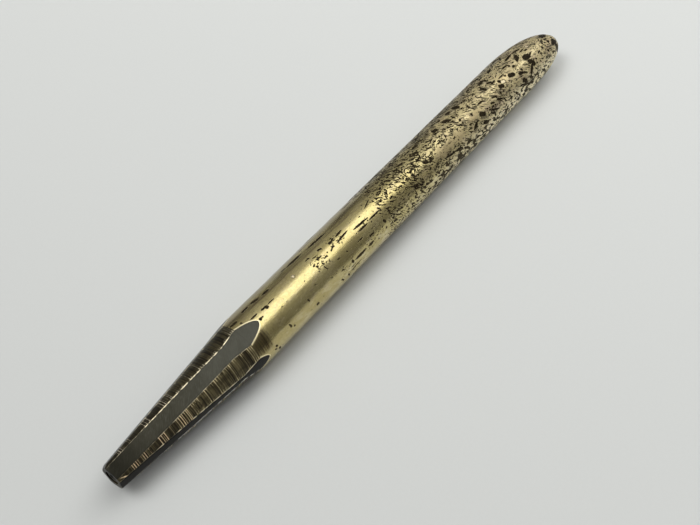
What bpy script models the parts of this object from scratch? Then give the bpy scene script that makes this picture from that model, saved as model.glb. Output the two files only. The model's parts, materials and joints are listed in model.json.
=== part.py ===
"""Twist-action brass mechanical pencil.

The pencil lies on its barrel along X, with its writing tip at -X. Turning the faceted nose
turns the slotted guide tube behind it, and the follower pin of the lead carrier then climbs
the spiral fixed in the barrel, which feeds the lead out of the tip or draws it back in.
Stations are distances from the tip end along the pencil's axis.
"""
import math

import bmesh
import bpy
from mathutils import Vector

MM = 0.001

# Driving dimensions, in metres.
LENGTH = 129.8 * MM
BARREL_RADIUS = 5.0 * MM
TIP_RADIUS = 2.30 * MM
NECK_STATION = 25.1 * MM          # the nose flares out faster behind this station
NECK_RADIUS = 4.51 * MM
SEAM_STATION = 28.7 * MM          # parting line of the turning nose and the barrel
SEAM_GAP = 0.15 * MM

# The bullet-shaped rear swells off the barrel slowly, then rounds over, and its apex is
# worn to one side of the barrel's axis.
OGIVE_LENGTH = 22.0 * MM
OGIVE_POWER = 3.1
REAR_SKEW = 1.1 * MM
REAR_SKEW_ANGLE = math.radians(115)

# Hand-ground flats of the nose: the direction each one faces, and its distance from the
# axis at the tip end. Angles go from straight up towards -Y.
FLATS = (
    (math.radians(12.8), 1.94 * MM),
    (math.radians(83.0), 2.12 * MM),
    (math.radians(156.0), 2.06 * MM),
    (math.radians(228.0), 2.00 * MM),
    (math.radians(300.0), 2.08 * MM),
)
FLAT_TAPER = 0.0943

# Lead feed.
PITCH = 4.0 * MM
TURNS = 10.5
TRAVEL = PITCH * TURNS
LEAD_RADIUS = 0.59 * MM
LEAD_LENGTH = 46.0 * MM
LEAD_SETBACK = 0.5 * MM           # the lead rests this far inside the tip
PIN_STATION = 80.0 * MM
PIN_RADIUS = 0.5 * MM
PIN_CLEARANCE = 0.12 * MM

# Concentric layers, from the axis outwards.
CARRIER_RADIUS = 1.75 * MM
GUIDE_INNER = 1.9 * MM
GUIDE_OUTER = 2.5 * MM
RUNNING_BORE = 2.6 * MM           # bushes and washers that the guide tube turns in
SPIRAL_INNER = 2.7 * MM
SPIRAL_OUTER = 3.5 * MM
HOUSING_INNER = 3.6 * MM
HOUSING_OUTER = 3.88 * MM
BARREL_BORE = 4.0 * MM
FIT_GAP = 0.3 * MM                # axial gap between neighbours

ROUND_SEGMENTS = 64
FINE_SEGMENTS = 32
SMALL_SEGMENTS = 16
COIL_SEGMENTS = 24
WIRE_SEGMENTS = 6
SMOOTH_LIMIT = math.radians(32)

# The barrel rests on one of its facets, so the axis is one facet apothem up.
AXIS_HEIGHT = BARREL_RADIUS * math.cos(math.pi / ROUND_SEGMENTS)


def station(distance):
    """X coordinate of a distance from the tip end."""
    return distance - LENGTH / 2


def clear_scene():
    for item in list(bpy.data.objects):
        bpy.data.objects.remove(item, do_unlink=True)


def make_material(name, color, roughness, metallic):
    material = bpy.data.materials.new(name)
    material.use_nodes = True
    shader = material.node_tree.nodes["Principled BSDF"]
    shader.inputs["Base Color"].default_value = (*color, 1.0)
    shader.inputs["Roughness"].default_value = roughness
    shader.inputs["Metallic"].default_value = metallic
    return material


def make_axis(name):
    axis = bpy.data.objects.new(name, None)
    axis.location = (0.0, 0.0, AXIS_HEIGHT)
    bpy.context.collection.objects.link(axis)
    return axis


def finish_object(name, bm, parent, material):
    """Turn a bmesh into a named, smooth-shaded object on its parent's axis."""
    bmesh.ops.recalc_face_normals(bm, faces=bm.faces)
    mesh = bpy.data.meshes.new(name)
    bm.to_mesh(mesh)
    bm.free()
    mesh.shade_smooth()
    mesh.set_sharp_from_angle(angle=SMOOTH_LIMIT)
    item = bpy.data.objects.new(name, mesh)
    bpy.context.collection.objects.link(item)
    item.parent = parent
    if material:
        mesh.materials.append(material)
    return item


def make_cutter(name, bm, parent):
    cutter = finish_object(name, bm, parent, None)
    cutter.display_type = "WIRE"
    cutter.hide_render = True
    return cutter


def cut(item, *cutters):
    for cutter in cutters:
        modifier = item.modifiers.new(cutter.name, "BOOLEAN")
        modifier.operation = "DIFFERENCE"
        modifier.solver = "EXACT"
        modifier.object = cutter


def turned_mesh(profile, segments):
    """Revolve a closed loop of (x, radius) points about X, with a facet facing straight down.

    Two neighbouring points on the axis have nothing between them, so the loop of a solid
    rod starts and ends on the axis.
    """
    bm = bmesh.new()
    rings = []
    for x, radius in profile:
        if radius == 0.0:
            rings.append([bm.verts.new((x, 0.0, 0.0))])
            continue
        angles = [2 * math.pi * (step + 0.5) / segments for step in range(segments)]
        rings.append([bm.verts.new((x, radius * math.sin(angle), radius * math.cos(angle)))
                      for angle in angles])
    for first, second in zip(rings, rings[1:] + rings[:1]):
        if len(first) == len(second) == 1:
            continue
        for step in range(segments):
            after = (step + 1) % segments
            if len(first) == 1:
                bm.faces.new((first[0], second[step], second[after]))
            elif len(second) == 1:
                bm.faces.new((first[step], second[0], first[after]))
            else:
                bm.faces.new((first[step], second[step], second[after], first[after]))
    return bm


def make_ring(name, parent, material, front, back, inner, outer, segments=FINE_SEGMENTS):
    """A plain tube, bush or washer between two stations."""
    profile = [(station(front), inner), (station(front), outer),
               (station(back), outer), (station(back), inner)]
    return finish_object(name, turned_mesh(profile, segments), parent, material)


def make_rod(name, parent, material, front, back, radius, segments=SMALL_SEGMENTS, chamfer=0.0):
    """A solid round rod between two stations, with its ends chamfered."""
    profile = [(station(front), 0.0)]
    if chamfer:
        profile.append((station(front), radius - chamfer))
    profile += [(station(front) + chamfer, radius), (station(back) - chamfer, radius)]
    if chamfer:
        profile.append((station(back), radius - chamfer))
    profile.append((station(back), 0.0))
    return finish_object(name, turned_mesh(profile, segments), parent, material)


def cross_rod_mesh(at, direction, low, high, radius, segments=SMALL_SEGMENTS):
    """A rod across the pencil at a station, from low to high along a unit direction."""
    bm = bmesh.new()
    side = direction.cross(Vector((1.0, 0.0, 0.0)))
    along = Vector((1.0, 0.0, 0.0))
    rings = []
    for reach in (low, high):
        centre = Vector((station(at), 0.0, 0.0)) + direction * reach
        ring = []
        for step in range(segments):
            angle = 2 * math.pi * (step + 0.5) / segments
            ring.append(bm.verts.new(centre + (along * math.cos(angle)
                                               + side * math.sin(angle)) * radius))
        rings.append(ring)
    for step in range(segments):
        after = (step + 1) % segments
        bm.faces.new((rings[0][step], rings[0][after], rings[1][after], rings[1][step]))
    bm.faces.new(rings[0])
    bm.faces.new(rings[1])
    return bm


def coil_mesh(front, back, pitch, sections, segments, phase=0.0):
    """Sweep a section of (along, radius) points round a right-hand helix about X.

    The section's centre passes straight up at the station phase, and at every pitch from it.
    """
    bm = bmesh.new()
    steps = round((back - front) / pitch * segments)
    rings = []
    for step in range(steps + 1):
        centre = front + step * pitch / segments
        turn = 2 * math.pi * (centre - phase) / pitch
        rings.append([bm.verts.new((station(centre) + along,
                                    -radius * math.sin(turn), radius * math.cos(turn)))
                      for along, radius in sections])
    count = len(sections)
    for first, second in zip(rings, rings[1:]):
        for corner in range(count):
            after = (corner + 1) % count
            bm.faces.new((first[corner], first[after], second[after], second[corner]))
    bm.faces.new(rings[0])
    bm.faces.new(rings[-1])
    return bm


def nose_radius(distance):
    """Outer radius of the turned nose, before its flats are ground."""
    if distance < NECK_STATION:
        return TIP_RADIUS + (NECK_RADIUS - TIP_RADIUS) * distance / NECK_STATION
    share = (distance - NECK_STATION) / (SEAM_STATION - NECK_STATION)
    return NECK_RADIUS + (BARREL_RADIUS - NECK_RADIUS) * share


def flat_cutter(number, angle, apothem, parent):
    """A wedge whose inner face is one ground flat of the nose and its arch on the barrel."""
    outward = Vector((0.0, -math.sin(angle), math.cos(angle)))
    sideways = Vector((0.0, math.cos(angle), math.sin(angle)))
    half_width = 1.4 * BARREL_RADIUS
    reach = 1.6 * BARREL_RADIUS
    bm = bmesh.new()
    corners = []
    for distance in (-2.0 * MM, SEAM_STATION + 8.0 * MM):
        depth = apothem + FLAT_TAPER * distance
        for height, side in ((depth, -1), (depth, 1), (reach, 1), (reach, -1)):
            place = outward * height + sideways * half_width * side
            corners.append(bm.verts.new((station(distance), place.y, place.z)))
    for loop in ((0, 1, 2, 3), (4, 5, 6, 7), (0, 1, 5, 4),
                 (1, 2, 6, 5), (2, 3, 7, 6), (3, 0, 4, 7)):
        bm.faces.new([corners[corner] for corner in loop])
    return make_cutter("flat_cutter_%d" % number, bm, parent)


# Stations of the mechanism, from the tip back.
TIP_CHAMFER = 0.12 * MM
LINER_FRONT = 0.2 * MM
LINER_THROAT_BACK = 2.6 * MM
LINER_BACK = 13.5 * MM
NOSE_WIDE_BORE = 14.0 * MM
SPIGOT_BACK = 29.5 * MM
WASHER_THICKNESS = 0.5 * MM
BUSH_LENGTH = 4.0 * MM
NOSE_WASHER_FRONT = SPIGOT_BACK + FIT_GAP
FRONT_BUSH_FRONT = NOSE_WASHER_FRONT + WASHER_THICKNESS + FIT_GAP
HOUSING_FRONT = FRONT_BUSH_FRONT + BUSH_LENGTH + FIT_GAP
SPIRAL_FRONT = HOUSING_FRONT + 1.5 * MM
SPIRAL_LENGTH = TRAVEL + 1.5 * PITCH
HOUSING_BACK = SPIRAL_FRONT + SPIRAL_LENGTH + 1.5 * MM
REAR_BUSH_FRONT = HOUSING_BACK + FIT_GAP
FRONT_WASHER_FRONT = REAR_BUSH_FRONT + BUSH_LENGTH + FIT_GAP
SPRING_FRONT = FRONT_WASHER_FRONT + WASHER_THICKNESS + FIT_GAP
SPRING_PITCH = 1.6 * MM
SPRING_LENGTH = 5 * SPRING_PITCH
SPRING_WIRE_RADIUS = 0.3 * MM
SPRING_RADIUS = 3.1 * MM
REAR_WASHER_FRONT = SPRING_FRONT + SPRING_LENGTH + 2 * SPRING_WIRE_RADIUS + FIT_GAP
COLLAR_FRONT = REAR_WASHER_FRONT + WASHER_THICKNESS + FIT_GAP
COLLAR_LENGTH = 4.0 * MM
COLLAR_RADIUS = 3.6 * MM
GUIDE_FRONT = NOSE_WIDE_BORE + FIT_GAP
GUIDE_BACK = COLLAR_FRONT + COLLAR_LENGTH + 1.0 * MM
TAIL_PIN_STATION = COLLAR_FRONT + COLLAR_LENGTH / 2
BORE_BACK = 112.0 * MM
BORE_POINT = 115.0 * MM

# Parts that travel with the lead, at rest.
CARRIER_LENGTH = 6.0 * MM
CUP_FRONT = LEAD_SETBACK + LEAD_LENGTH - 1.6 * MM
CUP_LENGTH = 5.0 * MM
CUP_RADIUS = 0.86 * MM
CUP_BORE = 0.64 * MM
PUSH_ROD_RADIUS = 0.5 * MM
PUSH_ROD_FRONT = LEAD_SETBACK + LEAD_LENGTH + FIT_GAP
CARRIER_FRONT = PIN_STATION - CARRIER_LENGTH / 2
CARRIER_SOCKET = 2.0 * MM


def skew_rear(bm):
    """Lean the rear of the barrel over, a little more the nearer a point is to the apex."""
    for vert in bm.verts:
        share = max(0.0, (vert.co.x - station(LENGTH - OGIVE_LENGTH)) / OGIVE_LENGTH)
        vert.co.y -= REAR_SKEW * share ** 2 * math.sin(REAR_SKEW_ANGLE)
        vert.co.z += REAR_SKEW * share ** 2 * math.cos(REAR_SKEW_ANGLE)


def build_barrel(parent, brass, flats):
    """The handle: a tube with a bullet-shaped closed rear, bored from its open front."""
    front = station(SEAM_STATION + SEAM_GAP / 2)
    profile = [(front, BARREL_BORE), (front, BARREL_RADIUS)]
    rings = 18
    for ring in range(rings):
        share = math.sin(math.pi / 2 * ring / rings)
        profile.append((station(LENGTH - OGIVE_LENGTH) + OGIVE_LENGTH * share,
                        BARREL_RADIUS * math.sqrt(1 - share ** OGIVE_POWER)))
    profile += [(station(LENGTH), 0.0), (station(BORE_POINT), 0.0),
                (station(BORE_BACK), BARREL_BORE)]
    bm = turned_mesh(profile, ROUND_SEGMENTS)
    skew_rear(bm)
    barrel = finish_object("barrel", bm, parent, brass)
    cut(barrel, *flats)


def build_nose(parent, brass, flats):
    """The turning nose: a long faceted cone with a spigot that centres it in the barrel."""
    back = SEAM_STATION - SEAM_GAP / 2
    liner_bore = 1.3 * MM
    spigot_radius = BARREL_BORE - 0.1 * MM
    profile = [(station(0.0), liner_bore),
               (station(0.0), TIP_RADIUS - TIP_CHAMFER),
               (station(TIP_CHAMFER), nose_radius(TIP_CHAMFER)),
               (station(NECK_STATION), NECK_RADIUS),
               (station(back), BARREL_RADIUS),
               (station(back), spigot_radius),
               (station(SPIGOT_BACK), spigot_radius),
               (station(SPIGOT_BACK), RUNNING_BORE),
               (station(NOSE_WIDE_BORE), RUNNING_BORE),
               (station(NOSE_WIDE_BORE), liner_bore)]
    nose = finish_object("nose_cone", turned_mesh(profile, ROUND_SEGMENTS), parent, brass)
    cut(nose, *flats)


def build_nose_internals(parent, brass, steel):
    """Everything that turns with the nose inside the barrel."""
    liner_radius = 1.2 * MM
    throat = LEAD_RADIUS + 0.08 * MM
    liner_bore = CUP_RADIUS + 0.09 * MM
    liner = [(station(LINER_FRONT), throat), (station(LINER_FRONT), liner_radius),
             (station(LINER_BACK), liner_radius), (station(LINER_BACK), liner_bore),
             (station(LINER_THROAT_BACK), liner_bore), (station(LINER_THROAT_BACK), throat)]
    finish_object("tip_liner", turned_mesh(liner, FINE_SEGMENTS), parent, steel)
    washer_radius = BARREL_BORE - 0.15 * MM
    make_ring("nose_washer", parent, steel, NOSE_WASHER_FRONT,
              NOSE_WASHER_FRONT + WASHER_THICKNESS, RUNNING_BORE, washer_radius)

    guide = make_ring("guide_tube", parent, brass, GUIDE_FRONT, GUIDE_BACK, GUIDE_INNER,
                      GUIDE_OUTER)
    slot_front = PIN_STATION - TRAVEL - 2 * PIN_RADIUS - 0.5 * MM
    slot_back = PIN_STATION + 2 * PIN_RADIUS + 0.5 * MM
    cut(guide, slot_cutter(parent, slot_front, slot_back))

    make_ring("rear_spring_washer", parent, steel, REAR_WASHER_FRONT,
              REAR_WASHER_FRONT + WASHER_THICKNESS, RUNNING_BORE, COLLAR_RADIUS)
    collar = make_ring("tail_collar", parent, brass, COLLAR_FRONT,
                       COLLAR_FRONT + COLLAR_LENGTH, RUNNING_BORE, COLLAR_RADIUS)
    plug = make_rod("guide_end_plug", parent, brass, COLLAR_FRONT - 1.0 * MM, GUIDE_BACK,
                    GUIDE_INNER - 0.1 * MM, FINE_SEGMENTS, 0.2 * MM)
    across = Vector((0.0, 1.0, 0.0))
    tail_hole = make_cutter("tail_pin_hole", cross_rod_mesh(
        TAIL_PIN_STATION, across, -BARREL_RADIUS, BARREL_RADIUS, PIN_RADIUS + PIN_CLEARANCE),
        parent)
    for item in (guide, collar, plug):
        cut(item, tail_hole)
    finish_object("tail_pin", cross_rod_mesh(
        TAIL_PIN_STATION, across, -COLLAR_RADIUS, COLLAR_RADIUS, PIN_RADIUS), parent, steel)

    wire = [(SPRING_WIRE_RADIUS * math.cos(2 * math.pi * step / WIRE_SEGMENTS),
             SPRING_RADIUS + SPRING_WIRE_RADIUS * math.sin(2 * math.pi * step / WIRE_SEGMENTS))
            for step in range(WIRE_SEGMENTS)]
    front = SPRING_FRONT + SPRING_WIRE_RADIUS
    finish_object("preload_spring", coil_mesh(front, front + SPRING_LENGTH, SPRING_PITCH, wire,
                                              COIL_SEGMENTS, front), parent, steel)


def slot_cutter(parent, front, back):
    """The lengthwise slot of the guide tube, through its upper wall only."""
    half_width = PIN_RADIUS + 0.2 * MM
    bm = bmesh.new()
    bmesh.ops.create_cube(bm, size=1.0)
    low, high = 0.8 * MM, GUIDE_OUTER + 1.0 * MM
    for vert in bm.verts:
        vert.co.x = station((front + back) / 2) + vert.co.x * (back - front)
        vert.co.y *= 2 * half_width
        vert.co.z = (low + high) / 2 + vert.co.z * (high - low)
    return make_cutter("guide_slot", bm, parent)


def build_barrel_internals(parent, brass, steel):
    """The fixed bearings and the spiral, pressed into the barrel."""
    bush_radius = BARREL_BORE - 0.1 * MM
    make_ring("front_bush", parent, brass, FRONT_BUSH_FRONT, FRONT_BUSH_FRONT + BUSH_LENGTH,
              RUNNING_BORE, bush_radius)
    make_ring("spiral_housing", parent, brass, HOUSING_FRONT, HOUSING_BACK, HOUSING_INNER,
              HOUSING_OUTER)
    make_ring("rear_bush", parent, brass, REAR_BUSH_FRONT, REAR_BUSH_FRONT + BUSH_LENGTH,
              RUNNING_BORE, bush_radius)
    make_ring("front_spring_washer", parent, steel, FRONT_WASHER_FRONT,
              FRONT_WASHER_FRONT + WASHER_THICKNESS, RUNNING_BORE, COLLAR_RADIUS)
    # The strand leaves a groove between its turns that the follower pin fits with clearance.
    half_strand = (PITCH - 2 * PIN_RADIUS - 0.6 * MM) / 2
    strand = [(-half_strand, SPIRAL_INNER), (half_strand, SPIRAL_INNER),
              (half_strand, SPIRAL_OUTER), (-half_strand, SPIRAL_OUTER)]
    front = SPIRAL_FRONT + half_strand
    finish_object("drive_spiral", coil_mesh(
        front, front + SPIRAL_LENGTH - 2 * half_strand, PITCH, strand, COIL_SEGMENTS,
        PIN_STATION + PITCH / 2), parent, steel)


def build_carrier(parent, brass, steel, graphite):
    """The carrier, its follower pin, and the rod and cup that push the lead."""
    carrier = make_rod("lead_carrier", parent, brass, CARRIER_FRONT,
                       CARRIER_FRONT + CARRIER_LENGTH, CARRIER_RADIUS, FINE_SEGMENTS,
                       0.2 * MM)
    up = Vector((0.0, 0.0, 1.0))
    pin_foot = 0.6 * MM
    hole_radius = PIN_RADIUS + PIN_CLEARANCE
    pin_hole = make_cutter("follower_pin_hole", cross_rod_mesh(
        PIN_STATION, up, pin_foot - 0.15 * MM, BARREL_RADIUS, hole_radius), parent)
    socket_radius = PUSH_ROD_RADIUS + PIN_CLEARANCE
    socket = make_cutter("push_rod_socket", turned_mesh(
        [(station(CARRIER_FRONT - 1.0 * MM), 0.0),
         (station(CARRIER_FRONT - 1.0 * MM), socket_radius),
         (station(CARRIER_FRONT + CARRIER_SOCKET), socket_radius),
         (station(CARRIER_FRONT + CARRIER_SOCKET), 0.0)], SMALL_SEGMENTS), parent)
    cut(carrier, pin_hole, socket)
    pin_reach = SPIRAL_OUTER - 0.2 * MM
    finish_object("follower_pin", cross_rod_mesh(PIN_STATION, up, pin_foot, pin_reach,
                                                 PIN_RADIUS), parent, steel)
    make_rod("push_rod", parent, steel, PUSH_ROD_FRONT, CARRIER_FRONT + CARRIER_SOCKET
             - 0.2 * MM, PUSH_ROD_RADIUS)
    make_ring("lead_cup", parent, brass, CUP_FRONT, CUP_FRONT + CUP_LENGTH, CUP_BORE,
              CUP_RADIUS, SMALL_SEGMENTS)
    make_rod("lead", parent, graphite, LEAD_SETBACK, LEAD_SETBACK + LEAD_LENGTH, LEAD_RADIUS)


def main():
    clear_scene()
    brass = make_material("worn_brass", (0.62, 0.48, 0.22), 0.32, 1.0)
    inner_brass = make_material("plain_brass", (0.72, 0.58, 0.30), 0.3, 1.0)
    steel = make_material("spring_steel", (0.55, 0.55, 0.56), 0.3, 1.0)
    graphite = make_material("graphite", (0.05, 0.05, 0.055), 0.55, 0.0)

    barrel_axis = make_axis("barrel_axis")
    nose_axis = make_axis("nose_twist_axis")
    nose_axis.parent = barrel_axis
    nose_axis.location = (0.0, 0.0, 0.0)
    feed_axis = make_axis("lead_feed_axis")
    feed_axis.parent = nose_axis
    feed_axis.location = (0.0, 0.0, 0.0)

    flats = [flat_cutter(number, angle, apothem, barrel_axis)
             for number, (angle, apothem) in enumerate(FLATS, 1)]
    build_barrel(barrel_axis, brass, flats)
    build_barrel_internals(barrel_axis, inner_brass, steel)
    build_nose(nose_axis, brass, flats)
    build_nose_internals(nose_axis, inner_brass, steel)
    build_carrier(feed_axis, inner_brass, steel, graphite)


main()
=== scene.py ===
"""Looks of the twist-action brass pencil: its worn skin, its inner pieces, light and camera.

Lengths are in metres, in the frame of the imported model. MM turns a millimetre into metres.
A station is a distance from the tip end along the pencil. A heading is a direction round the
axis, in degrees from straight up towards -Y, which is the side that faces the camera.
"""
import json
import math

import bpy
import numpy as np
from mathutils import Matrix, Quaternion, Vector


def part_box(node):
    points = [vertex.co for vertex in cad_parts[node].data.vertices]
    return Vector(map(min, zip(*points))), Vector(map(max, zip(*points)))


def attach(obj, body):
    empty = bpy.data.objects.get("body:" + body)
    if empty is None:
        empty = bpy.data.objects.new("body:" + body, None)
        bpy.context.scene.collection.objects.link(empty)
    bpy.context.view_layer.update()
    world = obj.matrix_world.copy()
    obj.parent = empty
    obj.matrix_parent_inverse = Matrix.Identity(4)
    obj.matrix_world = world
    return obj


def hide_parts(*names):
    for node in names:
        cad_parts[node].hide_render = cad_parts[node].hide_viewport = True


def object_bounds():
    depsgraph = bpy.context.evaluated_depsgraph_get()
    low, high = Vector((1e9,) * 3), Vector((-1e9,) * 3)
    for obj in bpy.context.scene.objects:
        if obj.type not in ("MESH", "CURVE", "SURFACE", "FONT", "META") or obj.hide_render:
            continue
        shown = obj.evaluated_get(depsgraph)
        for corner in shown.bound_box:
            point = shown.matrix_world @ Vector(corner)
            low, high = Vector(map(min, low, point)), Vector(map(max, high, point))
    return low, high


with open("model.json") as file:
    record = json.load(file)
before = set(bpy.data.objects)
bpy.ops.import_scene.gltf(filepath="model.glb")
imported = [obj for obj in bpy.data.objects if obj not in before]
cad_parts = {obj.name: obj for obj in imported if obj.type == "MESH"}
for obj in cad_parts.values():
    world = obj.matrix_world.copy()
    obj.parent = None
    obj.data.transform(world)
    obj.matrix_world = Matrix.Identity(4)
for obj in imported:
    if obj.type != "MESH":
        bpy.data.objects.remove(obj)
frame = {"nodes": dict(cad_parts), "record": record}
cad_low, cad_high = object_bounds()

MM = 0.001

# The pencil's shape, as the model was designed: lengths and stations in millimetres, headings
# in degrees. Each flat has a heading and its distance from the axis at the tip end.
BARREL_RADIUS = 5.0
NECK_STATION, NECK_RADIUS, TIP_RADIUS = 25.1, 4.51, 2.30
SEAM_STATION, SEAM_SLIT = 28.7, 0.012
FLATS = ((12.8, 1.94), (83.0, 2.12), (156.0, 2.06), (228.0, 2.00), (300.0, 2.08))
FLAT_TAPER = 0.0943
OGIVE_LENGTH, OGIVE_POWER = 22.0, 3.1
REAR_SKEW, REAR_SKEW_HEADING = 1.1, 115.0
LINER_BORE, RUNNING_BORE, BARREL_BORE = 1.3, 2.6, 4.0
WIDE_BORE_FRONT, BARREL_BORE_BACK, BARREL_BORE_POINT = 14.0, 112.0, 115.0

tip_corner, nose_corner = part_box("nose_cone")
lead_low, lead_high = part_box("lead")
TIP_X = tip_corner.x
SPIGOT_BACK = (nose_corner.x - TIP_X) / MM
LENGTH = (cad_high.x - cad_low.x) / MM
AXIS_Z = (lead_low.z + lead_high.z) / 2
OGIVE_FRONT = LENGTH - OGIVE_LENGTH


# -------------------- surfaces

def smoothstep(low, high, value):
    share = np.clip((value - low) / (high - low), 0.0, 1.0)
    return share * share * (3 - 2 * share)


def bump_at(station, centre, half_width):
    """A smooth bump of height 1 round a centre."""
    return np.clip(1 - np.abs(station - centre) / half_width, 0.0, 1.0) ** 1.5


# Bright turned ridges of the nose, as (station, strength).
CLEAR_RIDGES = (
    (2.50, 0.45), (2.82, 0.80), (3.20, 1.00), (3.60, 0.95), (3.95, 0.70), (4.65, 0.50),
    (4.97, 0.90), (5.37, 1.00), (5.70, 0.45), (6.22, 0.55), (6.60, 0.25), (7.60, 0.35),
    (8.36, 0.95), (8.85, 1.00), (9.14, 0.60), (9.45, 1.00), (10.65, 0.50), (11.70, 0.35),
    (12.03, 0.65), (12.48, 0.95), (12.90, 1.00), (13.22, 0.75), (13.65, 0.70), (14.03, 0.95),
    (14.30, 0.95), (15.25, 0.60), (15.62, 0.70), (16.05, 0.55), (16.60, 0.75), (17.50, 0.65),
    (18.20, 0.95), (18.60, 0.70), (19.80, 0.55), (20.35, 0.85), (20.75, 0.80), (21.25, 0.60),
    (21.70, 0.60), (22.50, 0.55), (23.75, 0.90), (24.05, 0.80), (24.70, 0.85), (26.30, 0.70),
    (27.72, 1.00), (28.08, 0.85), (28.46, 0.85),
)
DARK_GROOVES = (9.95, 13.45, 17.88, 22.0, 25.45, 27.2)
RIDGES_CROWD_FROM, FAINT_RIDGES_END = 14.5, 26.8


def ring_stations():
    """Stations, half widths and strengths of the nose's ridges, with faint ones between."""
    random = np.random.default_rng(11)
    rings = [(station, random.uniform(0.07, 0.11), strength)
             for station, strength in CLEAR_RIDGES]
    station = 0.6
    while station < FAINT_RIDGES_END:
        if min(abs(station - groove) for groove in DARK_GROOVES) > 0.15:
            fade = 0.30 if station < RIDGES_CROWD_FROM else 0.62
            rings.append((station, random.uniform(0.05, 0.09),
                          fade * random.uniform(0.15, 1.0)))
        crowded = station >= RIDGES_CROWD_FROM
        station += random.uniform(0.14, 0.42) if crowded else random.uniform(0.3, 0.9)
    return rings


RINGS = ring_stations()


def ring_field(station):
    """How strongly a bright ridge runs round the nose at each station, from 0 to 1."""
    field = np.zeros_like(station)
    for centre, half_width, strength in RINGS:
        field = np.maximum(field, strength * bump_at(station, centre, half_width))
    return field


def plain_radius(station):
    """Turned radius without ridges or flats, in millimetres."""
    station = np.asarray(station, float)
    neck = TIP_RADIUS + (NECK_RADIUS - TIP_RADIUS) * station / NECK_STATION
    flare = NECK_RADIUS + (BARREL_RADIUS - NECK_RADIUS) * (
        (station - NECK_STATION) / (SEAM_STATION - NECK_STATION))
    share = np.clip((station - OGIVE_FRONT) / OGIVE_LENGTH, 0.0, 1.0)
    rear = BARREL_RADIUS * np.sqrt(1 - share ** OGIVE_POWER)
    return np.where(station < NECK_STATION, neck, np.where(station < SEAM_STATION, flare, rear))


def flat_half_angle(station, apothem):
    """Half the angle that a flat takes up round the axis, 0 where it has run out."""
    share = (apothem + FLAT_TAPER * station) / plain_radius(station)
    return np.degrees(np.arccos(np.clip(share, -1.0, 1.0)))


# How worn each flat's two edges are, the upper or earlier one first.
EDGE_WEAR = ((1.0, 0.42), (0.95, 1.0), (0.7, 0.9), (0.8, 0.6), (0.9, 0.75))

EDGE_ZONE = 0.08        # half width of the worn edge between a flat and a turned strip
LEAST_HALF_ANGLE = 3.0
EDGE_STEPS = (-1.0, -0.5, 0.0, 0.5, 1.0)
FLAT_CELLS, STRIP_CELLS = 12, 12


def column_headings(station):
    """Headings of a ring's points: close together at the edges of every flat."""
    zone = math.degrees(EDGE_ZONE / float(plain_radius(station)))
    edges = []
    for heading, apothem in FLATS:
        half = max(float(flat_half_angle(station, apothem)), LEAST_HALF_ANGLE)
        edges.append((heading - half, heading + half))
    headings = []
    for index, (low, high) in enumerate(edges):
        following = edges[(index + 1) % len(edges)][0] + (360 if index == len(edges) - 1 else 0)
        headings += [low + zone * step for step in EDGE_STEPS]
        headings += list(np.linspace(low + zone, high - zone, FLAT_CELLS + 1)[1:-1])
        headings += [high + zone * step for step in EDGE_STEPS]
        headings += list(np.linspace(high + zone, following - zone, STRIP_CELLS + 1)[1:-1])
    return np.array(headings)


COLUMNS = len(column_headings(1.0))
ARCHES_END, EVEN_FROM = 33.0, 41.0      # where the flats have run out, and columns are even
EVEN_HEADINGS = FLATS[0][0] - 180 / COLUMNS + 360 * np.arange(COLUMNS) / COLUMNS
EVEN_SHIFT = float(np.mean(column_headings(ARCHES_END) - EVEN_HEADINGS))


def ring_headings(station):
    """Flat-following columns on the nose and its arches, even ones further back."""
    share = float(smoothstep(ARCHES_END, EVEN_FROM, station))
    return column_headings(station) * (1 - share) + (EVEN_HEADINGS + EVEN_SHIFT) * share


def wobble(station, headings):
    """Slow unevenness of hand-worked metal, in millimetres."""
    turn = np.radians(headings)
    return (0.010 * np.sin(0.31 * station + 2 * turn + 0.7)
            + 0.008 * np.sin(0.83 * station - 3 * turn)
            + 0.005 * np.sin(1.9 * station + 5 * turn + 2.1))


SKIN_DEPTH = 0.03           # how far the skin lies inside the designed surface
RIDGE_HEIGHT, GROOVE_DEPTH, RING_WAVE = 0.03, 0.015, 0.012
EDGE_ROUNDING, ARCH_ROUNDING, ARCHES_START = 0.035, 0.05, 27.0
TIP_ZONE = 3.0              # the tip's own wear: its gleam, and the corner worn off its end
CORNER_HEADING, CORNER_SPREAD, CORNER_DEPTH, CORNER_LENGTH = -62.0, 38.0, 0.42, 0.7
NO_EDGE, NO_FLAT = 9.0, 99.0        # stand for an edge, mark or flat too far away to matter
LEAST_FACING = 0.2


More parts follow.
